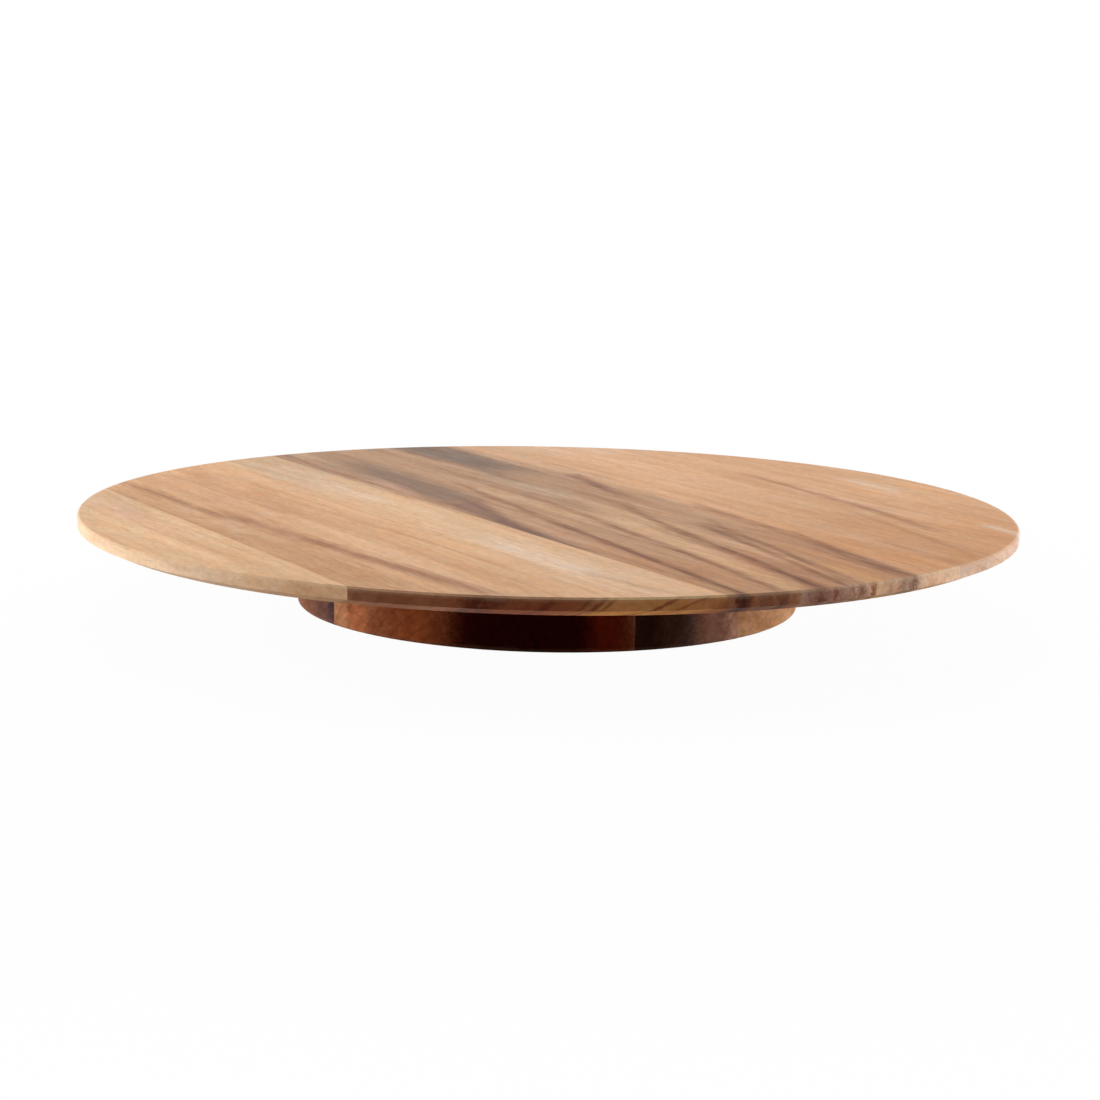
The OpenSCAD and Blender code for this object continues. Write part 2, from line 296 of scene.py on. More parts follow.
def makeOilFinish():  # puts the fibres, pores and cut ends on a wood colour, and gives its gloss and relief
    group, given, out = newGroup(
        "oilFinish",
        [("Wood", colour, (1, 1, 1, 1)), ("Fibre", number, 0.5), ("Pores", number, 0.0),
         ("End On", number, 0.0), ("End Tint", colour, (0.5, 0.4, 0.35, 1)), ("Fibre Contrast", number, 0.25),
         ("Pore Depth", number, 0.4), ("Bloom", number, 0.0), ("Roughness", number, 0.45)],
        [("Color", colour), ("Roughness", number), ("Height", number)])
    poreTone = (0.42, 0.3, 0.24)
    swing = calc(group, "MULTIPLY", calc(group, "SUBTRACT", given["Fibre"], 0.5), given["Fibre Contrast"])
    shade = calc(group, "MULTIPLY_ADD", swing, 2.0, 1.0)
    fibred = vectorCalc(group, "MULTIPLY", given["Wood"], joined(group, shade, shade, shade))
    poreShare = calc(group, "MULTIPLY", given["Pores"], given["Pore Depth"])
    pored = mixColour(group, "MULTIPLY", poreShare, fibred, poreTone)
    dull = given["Roughness"]
    for source, amount in (
            (swing, 0.5), (given["Pores"], 0.18), (given["End On"], 0.12), (given["Bloom"], -0.1)):
        dull = calc(group, "MULTIPLY_ADD", source, amount, dull)
    giveOut(group, out, {
        "Color": mixColour(group, "MULTIPLY", given["End On"], pored, given["End Tint"]), "Roughness": dull,
        "Height": calc(group, "SUBTRACT", calc(group, "MULTIPLY", given["Fibre"], 0.4), given["Pores"])})
    return group


def makeEdgeWear():  # a thin band on the rounded rim edges where hands have polished the wood
    group, given, out = newGroup(
        "edgeWear",
        [("Radius", number, 0.2), ("Level", number, 0.05), ("Width", number, 0.003)],
        [("Mask", number)])
    place = addNode(group, "ShaderNodeTexCoord").outputs["Object"]
    at = split(group, place)
    reach = vectorCalc(group, "LENGTH", joined(group, at["X"], at["Y"]), output="Value")
    aside = calc(group, "ABSOLUTE", calc(group, "SUBTRACT", reach, given["Radius"]))
    rise = calc(group, "ABSOLUTE", calc(group, "SUBTRACT", at["Z"], given["Level"]))
    broken = noise(group, place, 3.0, scale=120.0)
    near = calc(group, "MULTIPLY_ADD", broken, given["Width"], calc(group, "ADD", aside, rise))
    outer = calc(group, "MULTIPLY", given["Width"], 1.6)
    giveOut(group, out, {"Mask": softStep(group, near, outer, calc(group, "MULTIPLY", given["Width"], 0.7))})
    return group


grainSpace = makeGrainSpace()
growthBands = makeGrowthBands()
heartStreak = makeHeartStreak()
figure = makeFigure()
fibreLines = makeFibreLines()
softPatches = makeSoftPatches()
mottle = makeMottle()
oilFinish = makeOilFinish()
edgeWear = makeEdgeWear()
print("wood effects built")


def streak(points, width, tone, strength, soft, fade=(20, 20), lean=0.0, blend="MULTIPLY"):
    # points are two or three (along, across) pairs in mm on the middle of the streak,
    # and width is one number or a pair: the width at the first point and at the last
    (a0, w0), (a1, w1), (a2, w2) = (*points, points[-1])[:3]
    slant, bow = (w1 - w0) / (a1 - a0), 0.0
    if len(points) == 3:
        bow = ((w2 - w1) / (a2 - a1) - slant) / (a2 - a0)
        slant -= bow * (a0 + a1)
    first, last = width if isinstance(width, tuple) else (width, width)
    shape = {"Place": (w0 - slant * a0 - bow * a0 * a0) * mm, "Slant": slant, "Bow": bow / mm, "Lean": lean,
             "Width": first * mm, "Taper": (last - first) / (a2 - a0), "Soft": soft * mm,
             "Start": a0 * mm, "End": a2 * mm, "Start Fade": fade[0] * mm, "End Fade": fade[1] * mm}
    return {"shape": shape, "tone": tone, "strength": strength, "blend": blend}


def zone(points, width, tone, strength, soft, fade=(20, 20)):  # covers what a streak only tints
    return streak(points, width, tone, strength, soft, fade, blend="MIX")


def layStreak(tree, line, spot, lines, under, share=None):
    values = {**line["shape"], **spot, "Fray": lines["Fray"]}
    if line["blend"] == "MULTIPLY" and share is None:
        values["Kept"] = lines["Kept"]
    mask = calc(tree, "MULTIPLY", placeGroup(tree, heartStreak, values)["Mask"], line["strength"])
    if share is not None:
        mask = calc(tree, "MULTIPLY", mask, share)
    return mixColour(tree, line["blend"], mask, under, line["tone"])


def growWood(tree, plank, grain, endOn, spot, lines):  # the wood's own colour, from its bands to its streaks
    seed = plank["seed"]
    bands = placeGroup(tree, growthBands, {
        "Grain": grain, "Pith Across": plank["pith"][0] * mm, "Pith Level": plank["pith"][1] * mm,
        "Band Width": plank["bandWidth"] * mm, "Ring Width": plank["ringWidth"] * mm, "Seed": seed})
    ramp = addNode(tree, "ShaderNodeValToRGB", None, {"Fac": bands["Bands"]})
    ramp.color_ramp.elements[0].color = (*plank["deep"], 1)
    ramp.color_ramp.elements[1].color = (*plank["pale"], 1)
    ramp.color_ramp.elements.new(0.5).color = (*plank["ground"], 1)
    wood = ramp.outputs["Color"]
    for line in plank["zones"]:
        wood = layStreak(tree, line, spot, lines, wood)
    for size, stretch, cover, shift, tone, strength in plank["patches"]:
        cloud = placeGroup(tree, softPatches, {
            "Grain": grain, "Size": size * mm, "Stretch": stretch, "Cover": cover, "Seed": seed + shift})
        wood = mixColour(tree, "MIX", calc(tree, "MULTIPLY", cloud["Mask"], strength), wood, tone)
    figured = mixColour(tree, "MIX", lines["Swing"], plank["figureDark"], plank["figureLight"])
    wood = mixColour(tree, "MULTIPLY", plank["figureStrength"], wood, figured)
    flecks = placeGroup(tree, mottle, {
        "Grain": grain, "Size": plank["fleckSize"] * mm, "Stretch": plank["fleckStretch"], "Seed": seed})
    clouded = mixColour(tree, "MIX", flecks["Drift"], plank["driftWarm"], plank["driftCool"])
    wood = mixColour(tree, "MULTIPLY", plank["driftStrength"], wood, clouded)
    centred = calc(tree, "SUBTRACT", flecks["Swing"], 0.5)
    swing = calc(tree, "MULTIPLY_ADD", centred, plank["fleckStrength"], 1.0)
    fleckTone = addNode(tree, "ShaderNodeCombineColor", None, {"Red": swing, "Green": swing, "Blue": swing})
    wood = mixColour(tree, "MULTIPLY", 1.0, wood, fleckTone.outputs[0])
    late = calc(tree, "MULTIPLY_ADD", endOn, plank["endLate"], plank["lateStrength"])
    lateMask = calc(tree, "MULTIPLY", bands["Late Lines"], late)
    wood = mixColour(tree, "MULTIPLY", lateMask, wood, plank["lateTone"])
    for line in plank["streaks"]:
        wood = layStreak(tree, line, spot, lines, wood)
    return wood


def plankMaterial(name, plank):
    material, tree = newMaterial(name)
    seed = plank["seed"]
    space = placeGroup(tree, grainSpace, {
        "Turn": math.radians(plank["turn"]), "Wander": plank["wander"] * mm, "Ragged": plank["ragged"] * mm,
        "Seed": seed})
    grain, endOn, underside = space["Grain"], space["End On"], space["Underside"]
    at = split(tree, grain)
    spot = {"Across": at["X"], "Along": at["Y"], "Depth": calc(tree, "SUBTRACT", at["Z"], plank["level"])}
    lines = placeGroup(tree, figure, {
        "Grain": grain, "Width": plank["figureWidth"] * mm, "Length": plank["figureLength"] * mm,
        "Seed": seed + 3.0})
    wood = growWood(tree, plank, grain, endOn, spot, lines)
    fibres = placeGroup(tree, fibreLines, {
        "Grain": grain, "Fineness": plank["fineness"], "Pore Share": plank["poreShare"], "Seed": seed})
    bloom = placeGroup(tree, softPatches, {
        "Grain": grain, "Size": plank["bloomSize"] * mm, "Stretch": plank["bloomStretch"],
        "Cover": plank["bloomCover"], "Seed": seed + 5.0})
    finish = placeGroup(tree, oilFinish, {
        "Wood": wood, "Fibre": fibres["Fibre"], "Pores": fibres["Pores"], "End On": endOn,
        "End Tint": plank["endTint"], "Fibre Contrast": plank["fibreContrast"],
        "Pore Depth": plank["poreDepth"], "Bloom": bloom["Mask"], "Roughness": plank["roughness"]})
    shown = finish["Color"]
    for line in plank["endStreaks"]:
        shown = layStreak(tree, line, spot, lines, shown, endOn)
    # painted light and shade: the end grain of the lower chamfer is tinted lighter on some planks and darker
    # on others, standing in for the floor's bounced light on it
    shown = mixColour(tree, "MULTIPLY", calc(tree, "MULTIPLY", underside, endOn), shown, plank["slopePaintedLight"])
    # painted light: the upright long-grain sides of the rim are tinted paler and whiter on most top planks
    # for the gleam of the side lamps, and darker on the peach plank as painted shade where the right lamp
    # falls strongly
    shown = mixColour(tree, "MULTIPLY", space["Edge On"], shown, plank["sidePaintedLight"])
    flatUnder = calc(tree, "MULTIPLY", underside, calc(tree, "SUBTRACT", 1.0, endOn))
    underMask = calc(tree, "MULTIPLY", flatUnder, plank["underShare"])
    shown = mixColour(tree, "MIX", underMask, shown, plank["ground"])
    worn = placeGroup(tree, edgeWear, {
        "Radius": plank["edgeRadius"], "Level": plank["edgeLevel"], "Width": plank["wornWidth"] * mm})
    wornMask = calc(tree, "MULTIPLY", worn["Mask"], plank["wornShare"])
    shown = mixColour(tree, "MIX", wornMask, shown, plank["wornTone"])
    bump = addNode(tree, "ShaderNodeBump", None, {
        "Strength": plank["bump"], "Distance": plank["bumpDepth"] * mm, "Height": finish["Height"]})
    shader = addNode(tree, "ShaderNodeBsdfPrincipled", None, {
        "Base Color": shown, "Roughness": finish["Roughness"], "Normal": bump.outputs["Normal"],
        "Specular IOR Level": plank["specular"], "IOR": 1.45})
    addNode(tree, "ShaderNodeOutputMaterial", None, {"Surface": shader.outputs[0]})
    return material


def dress(nodeName, material):
    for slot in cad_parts[nodeName].material_slots:
        slot.material = material


woodCommon = {
    "wander": 2.6, "ragged": 0.7, "fleckSize": 1.7, "fleckStretch": 2.6, "poreShare": 0.3,
    "bloomSize": 30, "bloomStretch": 4.0, "bloomCover": 0.45, "wornWidth": 2.2, "wornShare": 0.22,
    "bump": 0.35, "bumpDepth": 0.2, "patches": [], "zones": [], "streaks": [], "endStreaks": []}

# slopePaintedLight and sidePaintedLight below are painted light and shade on the rim's lower chamfer and
# upright sides
topCommon = dict(
    woodCommon, turn=30.5, bandWidth=14, ringWidth=6.5, lateStrength=0.16, endLate=0.6,
    lateTone=(0.72, 0.6, 0.52), figureWidth=5.0, figureLength=75, figureDark=(0.86, 0.82, 0.78),
    figureLight=(1.11, 1.12, 1.13), figureStrength=0.6, fleckStrength=0.42, driftWarm=(1.0, 0.95, 0.89),
    driftCool=(1.01, 1.04, 1.08), driftStrength=0.9, slopePaintedLight=(1.15, 0.92, 0.65), sidePaintedLight=(1, 1.1, 1.25),
    underShare=0.15, fineness=1100.0, fibreContrast=0.1, poreDepth=0.4, roughness=0.55, specular=0.12,
    level=topFace, edgeRadius=topRadius - 0.4 * mm, edgeLevel=topFace - 0.4 * mm)

brownLine = (0.6, 0.5, 0.44)  # tones that streaks multiply the wood by
darkLine = (0.5, 0.4, 0.34)
blackLine = (0.4, 0.28, 0.22)
purpleLine = (0.56, 0.46, 0.5)
tanLine = (0.8, 0.7, 0.62)
creamLine = (1.18, 1.2, 1.22)

sandPlank = dict(
    topCommon, seed=3.1, pith=(-260, -60), deep=(0.63, 0.39, 0.22), ground=(0.68, 0.43, 0.245),
    pale=(0.72, 0.48, 0.29), endTint=(1.06, 0.88, 0.73), wornTone=(0.75, 0.55, 0.36),
    sidePaintedLight=(1.1, 1.22, 1.4), slopePaintedLight=(0.48, 0.39, 0.27),
    patches=[  # size in mm, stretch, cover, shift, tone and strength
        (26, 2.5, 0.4, 1.0, (0.74, 0.51, 0.33), 0.6),
        (34, 2.0, 0.3, 7.0, (0.66, 0.39, 0.2), 0.45),
        (3, 1.4, 0.3, 2.0, (0.5, 0.29, 0.16), 0.3)],
    zones=[zone([(-96, -195), (0, -191)], 12, (0.7, 0.42, 0.28), 0.5, 14)],
    streaks=[
        streak([(-44, -206), (80, -200)], 8, creamLine, 0.5, 8, fade=(25, 30)),
        streak([(-96, -201), (70, -192)], 4, tanLine, 0.45, 5),
        # partly painted light: this wide band grades the plank cooler and duller over this end, following how
        # the light falls across the top, over the wood's own tone
        streak([(-130, -196), (-50, -196)], 60, (0.86, 0.87, 0.9), 1.0, 16, fade=(10, 40))])

honeyPlank = dict(
    topCommon, seed=11.7, pith=(-32, -18), deep=(0.59, 0.335, 0.18), ground=(0.635, 0.375, 0.205),
    pale=(0.68, 0.42, 0.25), endTint=(0.39, 0.175, 0.115), wornTone=(0.7, 0.48, 0.3),
    slopePaintedLight=(1.3, 1.3, 1.0),
    patches=[
        (30, 3.5, 0.32, 2.0, (0.67, 0.44, 0.28), 0.5),
        (22, 5.0, 0.3, 4.0, (0.585, 0.31, 0.155), 0.4)],
    zones=[
        zone([(-205, -68), (215, -65)], 32, (0.69, 0.45, 0.275), 0.9, 20, fade=(30, 30)),
        zone([(-140, -167), (155, -162)], (30, 20), (0.505, 0.28, 0.143), 0.95, 14, fade=(30, 30)),
        zone([(-172, -121), (-10, -119)], (20, 14), (0.53, 0.285, 0.15), 0.85, 7, fade=(20, 50)),
        zone([(-172, -141), (-5, -137)], 19, (0.56, 0.315, 0.175), 0.8, 10, fade=(20, 60)),
        # painted highlight: these two pale zones in the creamy band stand for whitish-grey gleams on the
        # oiled top
        zone([(72, -74), (161, -73)], 12, (0.72, 0.53, 0.39), 0.85, 13, fade=(30, 25)),
        zone([(-100, -68), (-48, -67)], 10, (0.71, 0.51, 0.36), 0.7, 12, fade=(20, 25))],
    streaks=[
        streak([(-155, -160), (-88, -157), (-25, -156)], 4.5, brownLine, 1.0, 7, fade=(20, 40)),
        streak([(-45, -150.5), (60, -144), (180, -131)], (7, 9), (0.52, 0.4, 0.34), 1.0, 9, fade=(40, 12)),
        streak([(-98, -112), (14, -103), (120, -97)], 4, tanLine, 0.7, 5, fade=(15, 25)),
        streak([(-168, -129.5), (-46, -126)], 2.5, brownLine, 0.45, 4, fade=(20, 40)),
        streak([(20, -101), (110, -98)], 26, (1.08, 1.1, 1.1), 1.0, 14, fade=(25, 25)),
        streak([(155, -73), (206, -66)], 4, (0.66, 0.62, 0.6), 0.8, 5, fade=(10, 10)),
        streak([(82, -157), (151, -156)], 3.2, tanLine, 0.9, 5),
        streak([(105, -163), (159, -161)], 2.6, tanLine, 0.9, 4),
        streak([(-120, -173.5), (150, -173)], 2.2, tanLine, 0.8, 3.5, fade=(40, 15)),
        streak([(-46, -132), (128, -120)], 3, creamLine, 0.35, 5, fade=(40, 40)),
        # partly painted light: this wide band grades the plank cooler and duller over this end, following how
        # the light falls across the top, over the wood's own tone
        streak([(-240, -64), (-85, -64)], 42, (0.8, 0.84, 0.89), 1.0, 14, fade=(5, 40)),
        streak([(-230, -48.6), (-20, -47.8)], 3.4, (0.56, 0.53, 0.54), 1.0, 2, fade=(5, 40))],
    endStreaks=[
        streak([(start, first), (225, last)], width, tone, strength, soft, lean=lean)
        for start, first, last, width, tone, strength, soft, lean in (
            (130, -172, -172, 26, (0.72, 0.62, 0.55), 0.9, 12, 0.0),
            (150, -137, -137, 7, (0.3, 0.15, 0.12), 0.95, 6, 0.5),
            (150, -130, -130, 5, (0.6, 0.5, 0.4), 0.9, 5, 0.7),
            (150, -112, -112, 3, (0.55, 0.4, 0.35), 0.9, 4, 0.9),
            (150, -95, -94, 2.4, (0.4, 0.25, 0.25), 0.9, 2.2, 1.0),
            (150, -90.5, -90, 1.7, (0.45, 0.3, 0.3), 0.8, 1.8, 1.1),
            (150, -100, -99, 1.5, (0.5, 0.35, 0.35), 0.8, 1.8, 0.9),
            (150, -70, -70, 50, (2.0, 3.1, 2.6), 1.0, 18, 1.4),
            (150, -65, -65, 2.8, (0.4, 0.25, 0.22), 0.9, 2.5, 2.1),
            (150, -54, -54, 2, (0.6, 0.45, 0.4), 0.8, 2.5, 2.4))])

stripedPlank = dict(
    topCommon, seed=23.4, pith=(-190, -40), deep=(0.4, 0.225, 0.125), ground=(0.45, 0.26, 0.148),
    pale=(0.52, 0.31, 0.18), endTint=(0.62, 0.46, 0.44), wornTone=(0.6, 0.42, 0.3), lateStrength=0.3,
    slopePaintedLight=(0.84, 0.78, 0.55), figureWidth=3.4, figureLength=60, figureStrength=0.9,
    patches=[
        (24, 6.0, 0.35, 3.0, (0.43, 0.285, 0.16), 0.5),
        (14, 9.0, 0.3, 6.0, (0.54, 0.33, 0.19), 0.45)],
    zones=[
        zone([(-230, 82), (20, 80), (230, 68)], (34, 32), (0.64, 0.37, 0.21), 1.0, 9, fade=(5, 5)),
        zone([(60, 71), (230, 66)], (20, 26), (0.54, 0.285, 0.14), 0.95, 12, fade=(35, 5)),
        zone([(-240, 40), (-150, 43), (-116, 43)], (29, 24), (0.2, 0.126, 0.084), 1.0, 12, fade=(5, 32)),
        zone([(-200, 16), (-100, 13)], 16, (0.47, 0.275, 0.15), 0.6, 14, fade=(20, 40)),
        zone([(-200, -2), (-60, -4)], 16, (0.47, 0.26, 0.14), 0.6, 14, fade=(20, 60)),
        zone([(-165, -25), (-100, -26), (-30, -31)], (21, 24), (0.235, 0.14, 0.088), 1.0, 15, fade=(50, 10)),
        zone([(-32, -31), (25, -40.5), (110, -46.5)], (20, 3), (0.225, 0.118, 0.075), 1.0, 8, fade=(10, 16)),
        zone([(-105, -40), (-65, -43)], 5, (0.55, 0.3, 0.21), 0.8, 6, fade=(15, 20)),
        zone([(30, 13), (110, 2), (225, -16)], (12, 8), (0.58, 0.36, 0.21), 0.95, 8, fade=(25, 6)),
        zone([(0, 62), (70, 57)], 6, (0.53, 0.34, 0.21), 0.6, 8, fade=(20, 25)),
        zone([(185, 32), (225, 27)], 8, (0.56, 0.33, 0.15), 0.9, 7, fade=(14, 5)),
        zone([(30, -31), (160, -40)], (7, 5), (0.5, 0.29, 0.17), 0.8, 6, fade=(25, 25)),
        zone([(140, 13), (225, 1)], (8, 16), (0.37, 0.19, 0.1), 0.6, 9, fade=(40, 6)),
        zone([(90, 48), (225, 34)], (18, 12), (0.42, 0.21, 0.1), 0.55, 12, fade=(50, 6)),
        zone([(60, -34), (225, -34)], (12, 20), (0.42, 0.215, 0.11), 0.6, 12, fade=(50, 6))],
    streaks=[
        streak([(-240, 28), (-165, 27)], 4, darkLine, 0.75, 4.5, fade=(5, 25)),
        streak([(-250, 66), (-120, 66)], 16, (1.16, 1.15, 1.12), 1.0, 10, fade=(5, 35)),
        streak([(-90, 66), (-62, 60.5), (-24, 54.5)], (8, 8), (0.5, 0.37, 0.38), 1.0, 5, fade=(8, 16)),
        streak([(-30, 55), (12, 50)], 6, tanLine, 0.9, 6, fade=(18, 20)),
        streak([(22, 69), (60, 65.5), (106, 62)], 7, (0.54, 0.47, 0.42), 1.0, 5, fade=(12, 14)),
        streak([(112, 62), (160, 54), (228, 43.5)], (8, 9), (0.46, 0.33, 0.24), 1.0, 6, fade=(14, 4)),
        streak([(135, 50), (212, 41)], 2.4, brownLine, 0.7, 3.4, fade=(20, 10)),
        streak([(-34, 39), (20, 35)], 5, brownLine, 0.75, 5, fade=(18, 16)),
        streak([(18, 34), (66, 23), (108, 15.5)], 5, (0.56, 0.45, 0.38), 1.0, 5, fade=(16, 18)),
        streak([(92, 18), (150, 8), (228, -6)], (5, 6.5), (0.6, 0.47, 0.38), 1.0, 5, fade=(18, 4)),
        streak([(178, 4), (228, -5)], 3, blackLine, 0.8, 2.6, fade=(12, 4)),
        streak([(76, 44), (140, 32.5), (226, 16)], (5, 4), (0.53, 0.43, 0.36), 1.0, 4.4, fade=(18, 4)),
        streak([(76, 38), (140, 26), (226, 8)], (5, 4), (0.52, 0.42, 0.35), 1.0, 4.4, fade=(18, 4)),
        streak([(150, 30), (226, 12)], 2, brownLine, 0.8, 2.6, fade=(14, 4)),
        streak([(120, 14), (226, -1)], 2, brownLine, 0.8, 2.6, fade=(14, 4)),
        streak([(-146, 12), (-70, 9)], 4, tanLine, 0.75, 5, fade=(25, 25)),
        streak([(-40, 9), (20, 4), (68, -2)], (4.5, 3.4), darkLine, 0.62, 5, fade=(30, 14)),
        streak([(60, -1.5), (130, -9.5), (218, -22)], (4.6, 3.6), (0.54, 0.42, 0.36), 1.0, 4.4,
               fade=(14, 10)),
        streak([(-82, -5), (-25, -12), (60, -23)], (3, 5), (0.56, 0.45, 0.4), 1.0, 4.6, fade=(14, 14)),
        streak([(46, -21.5), (125, -30), (224, -41.5)], (4.4, 5.4), (0.48, 0.35, 0.29), 1.0, 4.4,
               fade=(16, 4)),
        streak([(118, -30), (224, -41)], 1.8, blackLine, 0.8, 2.2, fade=(20, 4)),
        streak([(-38, -27), (10, -35)], 3, (0.62, 0.56, 0.52), 0.7, 5, fade=(20, 20)),
        streak([(24, -41.5), (75, -46.5)], 4.4, purpleLine, 0.9, 3.5, fade=(14, 14)),
        streak([(92, -45.5), (180, -42.5)], 2.2, tanLine, 0.8, 3.5, fade=(15, 15)),
        streak([(-222, -44), (-140, -46.5), (-70, -46.5)], 4.5, (0.72, 0.56, 0.5), 0.9, 5, fade=(8, 25)),
        streak([(-112, 26), (-36, 22)], 10, (0.76, 0.82, 0.83), 1.0, 9, fade=(25, 25)),
        streak([(-30, 21), (16, 16)], 14, (0.8, 0.82, 0.86), 1.0, 9, fade=(25, 20)),
        streak([(-36, 67), (20, 64)], 12, (0.8, 0.8, 0.8), 1.0, 8, fade=(16, 20)),
        # partly painted light: these two wide bands grade the plank cooler and duller at one end and warmer
        # at the other, following how the light falls across the top, over the wood's own tone
        streak([(-260, 18), (-60, 18)], 140, (0.82, 0.86, 0.92), 1.0, 8, fade=(5, 70)),
        streak([(140, 18), (260, 18)], 140, (1.0, 0.91, 0.79), 1.0, 8, fade=(50, 5)),
        streak([(100, -14), (215, -26)], 2.4, creamLine, 0.35, 4, fade=(25, 10))],
    # partly painted sheen: the bands with tones well above 1 turn the end grain at the front-right of the rim
    # pale and whitish for the right lamp's gleam, over the wood's own pale pinkish end grain
    endStreaks=[
        streak([(150, place), (230, place)], width, tone, strength, soft)
        for place, width, tone, strength, soft in (
            (-40.5, 7, (0.45, 0.3, 0.32), 1.0, 3),
            (-30, 6, (0.64, 0.56, 0.58), 1.0, 4),
            (-22, 4, (0.52, 0.5, 0.56), 1.0, 3),
            (-11, 3, (0.75, 0.7, 0.75), 1.0, 3),
            (-6, 15, (1.75, 2.6, 4.2), 1.0, 4),
            (5, 4, (0.66, 0.6, 0.62), 0.9, 3),
            (12.5, 16, (2.5, 4.0, 6.2), 1.0, 4),
            (16, 2.5, (0.6, 0.55, 0.55), 0.9, 3),
            (36, 22, (2.5, 4.2, 6.2), 1.0, 4),
            (45, 6, (1.05, 1.15, 1.35), 1.0, 3),
            (41, 3, (0.75, 0.8, 0.85), 0.9, 3),
            (66, 34, (2.3, 4.0, 6.0), 1.0, 4))])

peachPlank = dict(
    topCommon, seed=37.9, pith=(30, -170), deep=(0.55, 0.31, 0.165), ground=(0.6, 0.345, 0.19),
    # partly painted sheen: the peach end tint, well above 1, whitens its end grain on the right of the rim
    # for the right lamp's gleam, over the wood's own pale pinkish end grain
    pale=(0.65, 0.39, 0.23), endTint=(1.26, 1.66, 2.6), wornTone=(0.72, 0.52, 0.38), lateStrength=0.12,
    sidePaintedLight=(0.72, 0.68, 0.6),
    patches=[
        (30, 3.0, 0.3, 3.0, (0.6, 0.31, 0.14), 0.5),
        (14, 3.0, 0.14, 9.0, (0.66, 0.5, 0.37), 0.5)],
    zones=[
        zone([(-215, 119), (0, 112)], 42, (0.66, 0.395, 0.235), 0.8, 16, fade=(10, 60)),
        zone([(72, 112), (206, 94)], (20, 36), (0.5, 0.255, 0.12), 0.9, 22, fade=(50, 10)),
        zone([(-50, 144), (80, 133)], 12, (0.53, 0.295, 0.155), 0.8, 10, fade=(30, 40)),
        zone([(72, 172), (196, 146)], (46, 60), (0.54, 0.28, 0.14), 0.8, 30, fade=(50, 20)),
        zone([(-15, 194), (27, 192)], 8, (0.68, 0.5, 0.36), 0.8, 9, fade=(14, 14)),
        zone([(130, 162), (161, 159)], 6, (0.66, 0.5, 0.38), 0.8, 7, fade=(10, 14)),
        zone([(12, 176), (33, 174)], 5, (0.66, 0.33, 0.13), 0.8, 7, fade=(10, 10)),
        zone([(12, 211), (34, 209)], 5, (0.66, 0.34, 0.14), 0.8, 7, fade=(10, 10))],
    streaks=[
        streak([(-40, 154), (33, 147), (130, 131)], (3.6, 6.4), (0.58, 0.47, 0.4), 1.0, 6, fade=(30, 15)),
        streak([(72, 129), (136, 116), (192, 102)], (3, 4), tanLine, 1.0, 5, fade=(20, 12)),
        streak([(150, 88), (205, 82)], 5, tanLine, 1.0, 6, fade=(12, 10)),
        streak([(-52, 171), (72, 159)], 4, tanLine, 0.5, 6, fade=(25, 25)),
        streak([(-150, 133), (-30, 127)], 5, tanLine, 0.35, 7, fade=(30, 40)),
        # partly painted light: these two wide bands grade the plank warmer at one end and cooler at the
        # other, following how the light falls across the top, over the wood's own tone
        streak([(130, 150), (260, 150)], 160, (0.98, 0.93, 0.84), 1.0, 8, fade=(50, 5)),
        streak([(-260, 150), (-150, 150)], 160, (0.98, 1.07, 1.18), 1.0, 8, fade=(5, 50))])

for nodeName, plank in (("top_stave_1", sandPlank), ("top_stave_2", honeyPlank),
                        ("top_stave_3", stripedPlank), ("top_stave_4", peachPlank)):
    dress(nodeName, plankMaterial("wood_" + nodeName, plank))
print("top planks dressed")

baseCommon = dict(
    woodCommon, turn=0.0, wander=3.0, ragged=0.5, bandWidth=12, ringWidth=6, lateStrength=0.5, endLate=0.4,
    lateTone=(0.6, 0.5, 0.45), figureWidth=4.0, figureLength=90, figureDark=(0.8, 0.72, 0.66),
    figureLight=(1.15, 1.16, 1.16), figureStrength=0.9, fleckStrength=0.35, driftWarm=(1.03, 0.97, 0.92),
    driftCool=(0.97, 1.02, 1.06), driftStrength=0.6, slopePaintedLight=(1, 1, 1), sidePaintedLight=(1, 1, 1),
    underShare=0.4, fineness=1500.0, fibreContrast=0.22, poreDepth=0.45, roughness=0.6, specular=0.02,
    level=baseHigh.z, edgeRadius=baseRadius - 0.6 * mm, edgeLevel=baseLow.z + 0.6 * mm)


def bandsAndShade(rows):  # bands from end to end of a base plank, some of them painted shade: place, width, tone, strength and softness
    return [zone([(-200, place), (200, place)], width, tone, strength, soft)
            for place, width, tone, strength, soft in rows]


plumPlank = dict(
    baseCommon, seed=41.3, pith=(-200, -30), deep=(0.3, 0.15, 0.1), ground=(0.3, 0.135, 0.08),
    pale=(0.38, 0.175, 0.1), endTint=(0.95, 0.92, 0.92), wornTone=(0.5, 0.3, 0.22),
    zones=bandsAndShade([
        (-104, 12, (0.21, 0.1, 0.075), 1.0, 6),
        (-100, 5, (0.1, 0.058, 0.075), 1.0, 4)]))

# painted shade: the bands darken this plank from light orange near its left end to near-black in the middle
# of the base front, for the shade under the top's overhang
russetShadedPlank = dict(
    baseCommon, seed=53.8, pith=(-40, -12), deep=(0.36, 0.13, 0.055), ground=(0.46, 0.175, 0.078),
    pale=(0.54, 0.225, 0.11), endTint=(0.95, 0.9, 0.88), wornTone=(0.4, 0.2, 0.12),
    zones=bandsAndShade([
        (-94.5, 8, (0.7, 0.36, 0.19), 1.0, 2),
        (-86, 7, (0.7, 0.26, 0.12), 0.9, 5),
        (-58, 26, (0.42, 0.115, 0.035), 0.8, 20),
        (-4, 84, (0.105, 0.014, 0.004), 1.0, 26),
        (-9, 60, (0.03, 0.002, 0.001), 1.0, 18),
        (28, 16, (0.17, 0.02, 0.006), 0.9, 12)]))

